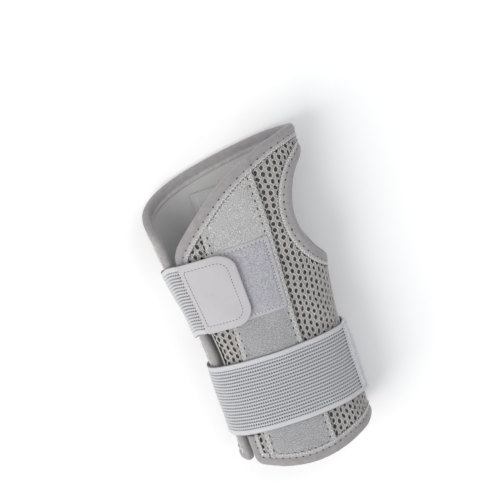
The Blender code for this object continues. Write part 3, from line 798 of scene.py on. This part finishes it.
def cloth(name, u0, u1, low, high, finish):
    """Plain layer that follows the splint's outline, with the thumb hole left out."""
    us = np.linspace(u0, u1, int((u1 - u0) / LAYER_STEP) + 1)
    share = np.linspace(0.0, 1.0, 78)
    bottom, top = hem(us) + LAYER_MARGIN, hand_end(us, LAYER_MARGIN)
    grid_y = bottom[:, None] + share[None] * (top - bottom)[:, None]
    grid_u = np.repeat(us[:, None], len(share), 1)
    # points just inside the thumb hole move out to its edge, and faces further inside are left out
    radius = np.hypot((grid_u - FOLD_U) / (THUMB_HALF_U + LAYER_MARGIN),
                      (grid_y - THUMB_Y) / (THUMB_HALF_Y + LAYER_MARGIN))
    inside = radius <= THUMB_RIM
    pull = (radius < 1.0) & ~inside
    grid_u = np.where(pull, FOLD_U + (grid_u - FOLD_U) / np.maximum(radius, 1e-6), grid_u)
    grid_y = np.where(pull, THUMB_Y + (grid_y - THUMB_Y) / np.maximum(radius, 1e-6), grid_y)
    flat = np.concatenate([stacked(grid_u, grid_y, d).reshape(-1, 3) for d in (high, low)])
    quads = np.array(ring_faces(len(us), len(share), closed_columns=False))
    quads = quads[~inside.ravel()[quads].any(1)]
    place(name, flat, two_sided(quads.tolist(), grid_u.size), finish, outward=True)


# ---- straps ----

def wrist_depth(u):
    """The strap lifts off the body where it leaves its sewn end, and lies on the palm panel."""
    return 0.35 + 1.05 * smooth((u - RISE_U) / RISE_LENGTH)


def hand_depth(u):
    """The same for the hand strap, which rises again into its tab."""
    return 0.35 + 0.85 * smooth((u - RISE_U) / RISE_LENGTH) + 0.9 * smooth((u + 44.0) / 12.0)


def hand_slant(u):
    """The hand strap runs a little towards the forearm as it goes down the side."""
    return -3.0 * smooth((-34.0 - u) / 15.0)


def hand_pull(u):
    """The hand strap is stretched flat round the side, and gathers again before the tab."""
    return 0.4 + 0.6 * smooth((u + 42.0) / 4.5)


def elastic(name, u0, u1, y0, depth, narrow=0.0, pulled=np.ones_like, slant=np.zeros_like):
    """Ribbed woven elastic with plain selvedges. Its ribs are flatter where pulled(u) is below 1."""
    us = np.linspace(u0, u1, int((u1 - u0) / ELASTIC_STEP) + 1)
    half = STRAP_HALF - narrow
    selvedge = np.array([RIB_ZONE / 2 + 0.3, RIB_ZONE / 2 + 0.9, half - 0.6, half - 0.15, half])
    ribs = np.linspace(-RIB_ZONE / 2, RIB_ZONE / 2, RIBS * 7 + 1)
    width = np.concatenate([-selvedge[::-1], ribs, selvedge])
    place_in_rib = (width + RIB_ZONE / 2) / (RIB_ZONE / RIBS)
    ribbed = np.abs(width) <= RIB_ZONE / 2 + 1e-6
    crest = np.abs(np.sin(math.pi * place_in_rib))
    groove = (1.0 - crest) ** 1.1
    u, v = np.meshgrid(us, width, indexing="ij")
    y = y0 + slant(us)[:, None]
    turn = 2 * math.pi * u / BRAID_PITCH
    wander = 0.9 * np.sin(0.5 * u + 2.1 * np.round(place_in_rib))
    braid = np.cos(math.pi * place_in_rib) * np.sin(turn + wander)
    height = groove * (-0.44 - 0.44 * braid) + 0.08 * np.sin(turn) * crest
    height = np.where(ribbed, height, -0.02) * pulled(u)
    past = np.abs(width) - half + 0.3
    height = np.where(past > 0, -0.35 * past / 0.3, height)
    top = stacked(u, y + v + np.where(ribbed, 0.30 * braid, 0.0), depth(u) + ELASTIC_THICKNESS + height)
    u2, v2 = np.meshgrid(us, np.linspace(half, -half, 12), indexing="ij")
    flat = np.concatenate([top, stacked(u2, y + v2, depth(u2))], 1)
    # the pattern's Z carries the ribs' height, which the elastic's finish paints as shade in the grooves and
    # at the edges
    pattern = flat.copy()
    pattern[:, :len(width), 2] = height
    pattern[:, len(width):, 2] = -0.1
    rows, columns = flat.shape[:2]
    place(name, flat, ring_faces(rows, columns) + end_caps(rows, columns), "elastic", pattern, outward=True)


def fringe(name, u0, u1, y0, y1, d, count, reach):
    """Loose fibre ends: thin curved hairs standing off the cloth, in a near white finish that paints them
    lit.
    """
    t = np.array([0.0, 0.35, 0.7, 1.0])[:, None]
    turn = np.array([0.0, 2.1, 4.2])
    thin = 0.09 * (1.0 - 0.75 * t)
    flat = []
    for _ in range(count):
        u, y = rng.uniform(u0, u1), rng.uniform(y0, y1)
        lean = rng.normal(0.0, 0.7, 2)
        length = reach * rng.uniform(0.45, 1.0)
        curl = length * t * t
        u, y = u + lean[0] * curl, y + lean[1] * curl
        height = d + length * t * (1.0 - 0.35 * t)
        flat.append(stacked(u + thin * np.cos(turn), y + thin * np.sin(turn), height))
    faces = repeated(ring_faces(t.size, turn.size), t.size * turn.size, count)
    place(name, np.concatenate(flat), faces, "fibre")


def pocket(name, u0, u1, y0, y1, tunnels):
    """Stay pocket inside the lining: sewn down beside each tunnel and open at the forearm end."""
    us = np.linspace(u0, u1, 60)
    ys = np.linspace(y0, y1, 90)
    lift = np.zeros_like(us)
    for low, high in tunnels:
        lift = np.maximum(lift, smooth((us - low) / 1.6) * smooth((high - us) / 1.6))
    drop = STAY_ROOM * lift[:, None] * smooth((y1 - 1.5 - ys) / 3.0)[None]
    u, y = np.meshgrid(us, ys, indexing="ij")
    flat = np.concatenate([stacked(u, y, d - drop).reshape(-1, 3) for d in POCKET_FACES])
    quads = ring_faces(len(us), len(ys), closed_columns=False)
    place(name, flat, two_sided(quads, u.size), "lining", outward=True)


# ---- build ----

def panel_cover(u, y):
    """Cells well under the palm panel and its tapes."""
    return (u > PALM_VELOUR[0] + PALM_LEAN * y) & (u < 12.6)


def back_cover(u, y):
    """Cells well under the back panel."""
    return np.abs(u - HALF_GIRTH) < 17.0


def build_body():
    """Air mesh, its inner layer, lining and bindings."""
    air_mesh("air_mesh_palm", PALM_SLIT + 1.6, BLEND_U, panel_cover)
    air_mesh("air_mesh_back", BLEND_U - 0.5, BACK_SLIT - 3.5, back_cover)
    yarns("air_mesh_yarns_palm", PALM_SLIT + 1.6, BLEND_U, panel_cover)
    yarns("air_mesh_yarns_back", BLEND_U + 0.5, BACK_SLIT - 3.5, back_cover)
    # the inner layer takes the dark floor finish, which paints the shade at the bottom of the holes
    for layer, low, high, finish in (("inner_layer", -2.0, -1.3, "floor"), ("lining", -3.0, -2.5, "lining")):
        cloth(layer + "_palm", PALM_SLIT + 0.6, BLEND_U, low, high, finish)
        cloth(layer + "_back", BLEND_U, BACK_SLIT - 3.0, low, high, finish)
    hand, forearm, back, thumb = palm_hand_path(), palm_hem_path(), back_path(), thumb_path()
    for name, path, side in (("hand_end", hand, 1), ("hem", forearm, -1), ("back", back, 1)):
        sweep(name + "_binding", path, TAPE_PROFILE, "knit", side, lift=under_binding)
    sweep("thumb_binding", thumb, TAPE_PROFILE, "knit", 1, closed=True)
    stitch_binding("hand_end", hand, 1, 4.1)
    stitch_binding("hem", forearm, -1, 3.5, seam_pitch=3.5)
    stitch_binding("back_edge", back, 1, 3.9)
    stitch_binding("thumb", thumb, 1, 3.7, closed=True)
    # the rolled edge takes the yarn finish, so its lower side is painted darker as shade
    sweep("slit_rolled_edge", [(PALM_SLIT, 24.0), (PALM_SLIT, -64.0)], ROLLED_PROFILE, "yarn", -1)


def seam_rows(name, line, y0, y1, d):
    """Zigzag thread down a seam tape, with dark beads of painted shade for the needle holes at both sides.
    line(y) is the tape's middle.
    """
    pitch = 2.0
    y = np.arange(y0, y1, pitch)
    lean = 0.8 * alternate(len(y))
    scatter(name + "_zigzag", stacked(line(y), y), d + 0.08, math.pi / 2 + lean, ZIGZAG, "thread")
    holes = []
    for k, side in enumerate((-1.0, 1.0)):
        row = np.arange(y0 + pitch * (k + 0.5), y1, 2 * pitch)
        holes += [(line(v) + side * 1.38, v, 1.05 + 0.4 * rng.uniform()) for v in row]
    u, y, length = np.array(holes).T
    scatter(name + "_needle_holes", stacked(u, y), d + 0.02, math.pi / 2, (length, 0.66, 0.36), "hole")


def seam_tape(name, middle, high, lean=0.0):
    """Narrow tape over a velour panel's edge."""
    sides = (side_line(middle + side, lean) for side in (-TAPE_HALF, TAPE_HALF))
    panel(name, strip(*sides, TAPE_TUCK), 0.1, high, "tape", edge=0.5)


def build_panels():
    """Velour panels with their seam tapes, and the loop tapes."""
    left, right = side_line(PALM_VELOUR[0], PALM_LEAN), side_line(PALM_VELOUR[1])
    panel("palm_velour", strip(left, right, VELOUR_TUCK), 0.15, 0.85, "velour", dome=0.35)
    ulnar, radial = PALM_TAPES
    seam_tape("palm_tape_ulnar", ulnar, 1.05, PALM_LEAN)
    seam_tape("palm_tape_radial", radial, 1.05)
    seam_rows("palm_tape_ulnar", side_line(ulnar, PALM_LEAN), -75.0, 47.0, 1.05)
    seam_rows("palm_tape_radial", side_line(radial), -75.0, 69.0, 1.05)
    left, right = side_line(HALF_GIRTH - BACK_PANEL_HALF), side_line(HALF_GIRTH + BACK_PANEL_HALF)
    panel("back_velour", strip(left, right, VELOUR_TUCK), 0.1, 0.8, "velour", dome=0.15)
    for name, middle in (("radial", HALF_GIRTH - BACK_TAPE), ("ulnar", HALF_GIRTH + BACK_TAPE)):
        seam_tape("back_tape_" + name, middle, 0.95)
        seam_rows("back_tape_" + name, side_line(middle), -72.0, float(hand_end(middle, BINDING)), 0.95)
    loop_tape_patch("palm_loop", (-16.5, 11.5, HAND_Y - 18.0, HAND_Y + 20.0), 1.2)
    loop_tape_patch("side_loop", (FOLD_U + 2.0, FOLD_U + 20.0, WRIST_Y - 19.0, WRIST_Y + 19.0), 0.25)


def loop_tape_patch(name, corners, d):
    """Flat woven selvedge with a raised field of loops, sewn down all the way round."""
    panel(name + "_selvedge", bar(corners), d, d + 0.4, "selvedge")
    panel(name + "_tape", bar(corners, inset=2.3), d + 0.3, d + 0.75, "loop", dome=0.2)
    border(name, corners, 1.75, 1.75, d + 0.44, size=0.85)


def border(name, corners, inset, pitch, d, right=0.6, finish="thread", size=1.0):
    """Row of stitches inside a piece's edge: a thread between two needle holes, painted as dark beads of
    shade, all the way round.
    """
    points, _ = resample(bar(corners, 0.6, max(right - inset, 0.6), inset), pitch, closed=True)
    heading = np.roll(points, -1, 0) - points
    turn = np.arctan2(heading[:, 1], heading[:, 0])
    scatter(name + "_needle_holes", points, d, turn, (0.62 * size, 0.46 * size, 0.26), "hole")
    scatter(name + "_stitches", points + 0.5 * heading, d, turn, (0.62 * pitch, 0.3 * size, 0.22), finish)


def across_strap(u0, u1, y, half=STRAP_HALF):
    """Corners of a piece that lies across a strap."""
    return u0, u1, y - half, y + half


def build_straps():
    """Both straps with their ends, hook tapes and loose fibres."""
    elastic("wrist_elastic", SEWN_END_U, TIP_U + 0.3, WRIST_Y, wrist_depth)
    tip = across_strap(TIP_U - 0.4, TIP_END_U, WRIST_Y)
    panel("wrist_tip", bar(tip, right=4.0), 1.4, 2.62, "tip")
    border("wrist_tip", tip, 1.3, 1.5, 2.62, right=4.0, size=0.7)
    hook = across_strap(TIP_U + 6.0, TIP_END_U - 1.0, WRIST_Y, 17.7)
    panel("wrist_hook_tape", bar(hook, right=3.0), 0.95, 1.45, "hook")
    elastic("hand_elastic", SEWN_END_U, TAB_U, HAND_Y, hand_depth, pulled=hand_pull, slant=hand_slant)
    elastic("hand_elastic_end", TAB_U, -20.5, HAND_Y, hand_depth, narrow=0.15, pulled=hand_pull)
    tab = across_strap(TAB_U + 1.6, TAB_END_U, HAND_Y)
    panel("hand_tab_cover", bar(tab, 1.0, 9.0), 3.45, 4.65, "tab", edge=0.7, dome=0.12, step=1.8)
    border("hand_tab", across_strap(TAB_U - 0.2, TAB_END_U, HAND_Y), 3.9, 1.6, 4.74, right=9.0, finish="tab",
           size=0.85)
    hook = across_strap(-20.2, TAB_END_U - 2.0, HAND_Y, 17.5)
    panel("hand_hook_tape", bar(hook, right=6.0), 2.4, 3.3, "hook")
    fringe("wrist_tip_fibres", *across_strap(TIP_U + 5.2, TIP_U + 13.0, WRIST_Y), 2.5, 520, 2.3)
    # painted shade: dark beads where the grooves between the ribs end at the tip
    ends = WRIST_Y - RIB_ZONE / 2 + RIB_ZONE / RIBS * np.arange(RIBS + 1)
    scatter("wrist_tip_rib_ends", stacked(TIP_U - 0.9, ends), 2.5, 0.0, RIB_END_SHADE, "hole")


def build_inside():
    """Stay pockets, and the stays' own metal and dipped ends."""
    pocket("palm_pocket", -13.5, 13.5, -76.0, 45.0, [(-12.4, 12.4)])
    middle = HALF_GIRTH
    pocket("back_pocket", middle - 14.5, middle + 14.5, -75.5, 64.0,
           [(middle - 13.1, middle - 2.5), (middle + 2.5, middle + 13.1)])
    aluminium = metal("aluminium", (225, 226, 228), (205, 206, 209), 0.38, (6, 0.25, 6))
    steel = metal("spring_steel", (205, 207, 210), (180, 182, 186), 0.3, (7, 0.2, 7))
    caps = dipped()
    finishes = {"palm_stay": aluminium, "back_stay_radial": steel, "back_stay_ulnar": steel,
                "palm_stay_cap_forearm": caps, "palm_stay_cap_hand": caps}
    for name, finish in finishes.items():
        for entry in bpy.data.objects[name].material_slots:
            entry.material = finish


# ---- which body each piece follows; a piece listed with a bend keeps its place in the frame ----

def by_start(groups):
    """Table from the start of a piece's name to its group."""
    return {start: group for group, starts in groups.items() for start in starts}


BODY_OF = by_start({
    "back_half": ("back_", "air_mesh_back", "air_mesh_yarns_back", "inner_layer_back", "lining_back",
                  "side_loop"),
    "palm_half": ("palm_", "slit_"), "wrist_strap_tip": ("wrist_hook",), "hand_tab": ("hand_hook",)})
# first body, second body, and where the cloth starts and ends to follow the second
SIDE_BEND = ("back_half", "palm_half", (0.0417, 0.0, 0.012), (0.0417, 0.0, 0.030))
WRIST_LIFT = ("back_half", "wrist_strap", (-0.036, WRIST_Y * MM, 0.0045), (-0.036, WRIST_Y * MM, 0.013))
HAND_LIFT = ("back_half", "hand_strap", (-0.036, HAND_Y * MM, 0.0040), (-0.036, HAND_Y * MM, 0.0125))
TIP_BEND = ("wrist_strap", "wrist_strap_tip", (0.0385, WRIST_Y * MM, 0.0305), (0.0385, WRIST_Y * MM, 0.0245))
TAB_BEND = ("hand_strap", "hand_tab", (-0.0343, HAND_Y * MM, 0.0395), (-0.0262, HAND_Y * MM, 0.0440))
BENDS = by_start({
    SIDE_BEND: ("air_mesh_palm", "air_mesh_yarns_palm", "inner_layer_palm", "lining_palm", "hand_end", "hem_",
                "thumb_"),
    WRIST_LIFT: ("wrist_elastic",), TIP_BEND: ("wrist_tip",), HAND_LIFT: ("hand_elastic",),
    TAB_BEND: ("hand_tab", "hand_elastic_end")})
REPLACED = {"air_mesh_palm": ["palm_mesh"], "air_mesh_back": ["back_mesh"], "lining_palm": ["palm_lining"],
            "lining_back": ["back_lining"], "hand_end_binding": ["palm_hand_binding"],
            "hem_binding": ["palm_hem_binding"], "slit_rolled_edge": ["palm_edge_binding"],
            "back_binding": ["back_hem_binding", "back_hand_binding", "back_edge_binding"],
            "thumb_binding": ["thumb_binding_palm", "thumb_binding_back"], "palm_velour": ["palm_panel"],
            "palm_tape_ulnar": ["palm_seam_tape_ulnar"], "palm_tape_radial": ["palm_seam_tape_radial"],
            "palm_loop_tape": ["palm_loop_patch"], "palm_pocket": ["palm_stay_pocket"],
            "back_velour": ["back_panel"], "back_tape_radial": ["back_seam_tape_radial"],
            "back_tape_ulnar": ["back_seam_tape_ulnar"], "side_loop_tape": ["side_loop_patch"],
            "back_pocket": ["back_stay_pocket"], "wrist_elastic": ["wrist_strap", "wrist_strap_anchor"],
            "wrist_tip": ["wrist_strap_tip"], "wrist_hook_tape": ["wrist_strap_hook"],
            "hand_elastic": ["hand_strap", "hand_strap_anchor"], "hand_tab_cover": ["hand_tab"],
            "hand_elastic_end": ["hand_tab_backing"], "hand_hook_tape": ["hand_tab_hook"]}


def first_match(table, name):
    """Value of the longest key that the name starts with."""
    keys = [k for k in table if name.startswith(k)]
    return table[max(keys, key=len)] if keys else None


def attach():
    for name, piece in PIECES.items():
        bend = first_match(BENDS, name)
        if bend:
            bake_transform(piece)
        else:
            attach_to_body(piece, first_match(BODY_OF, name))
        if name in REPLACED:
            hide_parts(*REPLACED[name])


# ---- camera, light, table ----

CAMERA_TILT = math.radians(10.5)      # towards the fingers' side of straight above
CAMERA_ROLL = math.radians(19.0)
CAMERA_DISTANCE = 0.8
FOCAL_MM = 109.44
LOOK_OFFSET = (0.00605, -0.02737)     # the splint's middle is right of and below the frame's middle


def add_camera():
    """Looks down on the palm side from a little towards the hand end, rolled so that the splint slants."""
    target = Vector((0.0, 0.0, 0.024))
    back = Vector((0.0, math.sin(CAMERA_TILT), math.cos(CAMERA_TILT)))
    up = (Vector((0.0, 1.0, 0.0)) - back * back.y).normalized()
    right = up.cross(back)
    c, s = math.cos(CAMERA_ROLL), math.sin(CAMERA_ROLL)
    right, up = right * c - up * s, right * s + up * c
    plain = Matrix((right, up, back)).transposed()
    seen = Vector((LOOK_OFFSET[0], LOOK_OFFSET[1], -CAMERA_DISTANCE)).normalized()
    turned = plain @ seen.rotation_difference(Vector((0.0, 0.0, -1.0))).to_matrix()
    data = bpy.data.cameras.new("camera")
    data.lens = FOCAL_MM
    data.sensor_width = 36.0
    data.clip_start = 0.01
    made = bpy.data.objects.new("camera", data)
    made.matrix_world = Matrix.Translation(target + back * CAMERA_DISTANCE) @ turned.to_4x4()
    bpy.context.scene.collection.objects.link(made)
    bpy.context.scene.camera = made


def add_light(name, place_at, size, power, colour):
    """Round soft light, aimed at the splint's middle."""
    data = bpy.data.lights.new(name, "AREA")
    data.shape = "DISK"
    data.size = size
    data.energy = power
    data.color = colour
    made = bpy.data.objects.new(name, data)
    made.location = place_at
    made.rotation_euler = (Vector((0.0, 0.0, 0.02)) - Vector(place_at)).to_track_quat("-Z", "Y").to_euler()
    bpy.context.scene.collection.objects.link(made)


def add_studio():
    """Pale floor, even sky and two soft lights."""
    mesh = bpy.data.meshes.new("table")
    half = 3.0
    corners = [(-half, -half, 0), (half, -half, 0), (half, half, 0), (-half, half, 0)]
    mesh.from_pydata(corners, [], [(0, 1, 2, 3)])
    mesh.materials.append(table_top())
    top = bpy.data.objects.new("table", mesh)
    top.location.z = -0.0002
    bpy.context.scene.collection.objects.link(top)
    world = bpy.data.worlds.new("studio")
    world.use_nodes = True
    world.node_tree.nodes["Background"].inputs["Color"].default_value = (0.97, 0.98, 1.0, 1.0)
    world.node_tree.nodes["Background"].inputs["Strength"].default_value = 0.66
    bpy.context.scene.world = world
    add_light("key_light", (-0.75, -0.25, 0.85), 0.9, 8.6, (1.0, 0.985, 0.965))
    add_light("fill_light", (0.7, 0.5, 0.9), 0.9, 2.2, (0.96, 0.98, 1.0))
    bpy.context.scene.view_settings.view_transform = "Standard"


add_camera()
build_body()
build_panels()
build_straps()
build_inside()
attach()
add_studio()
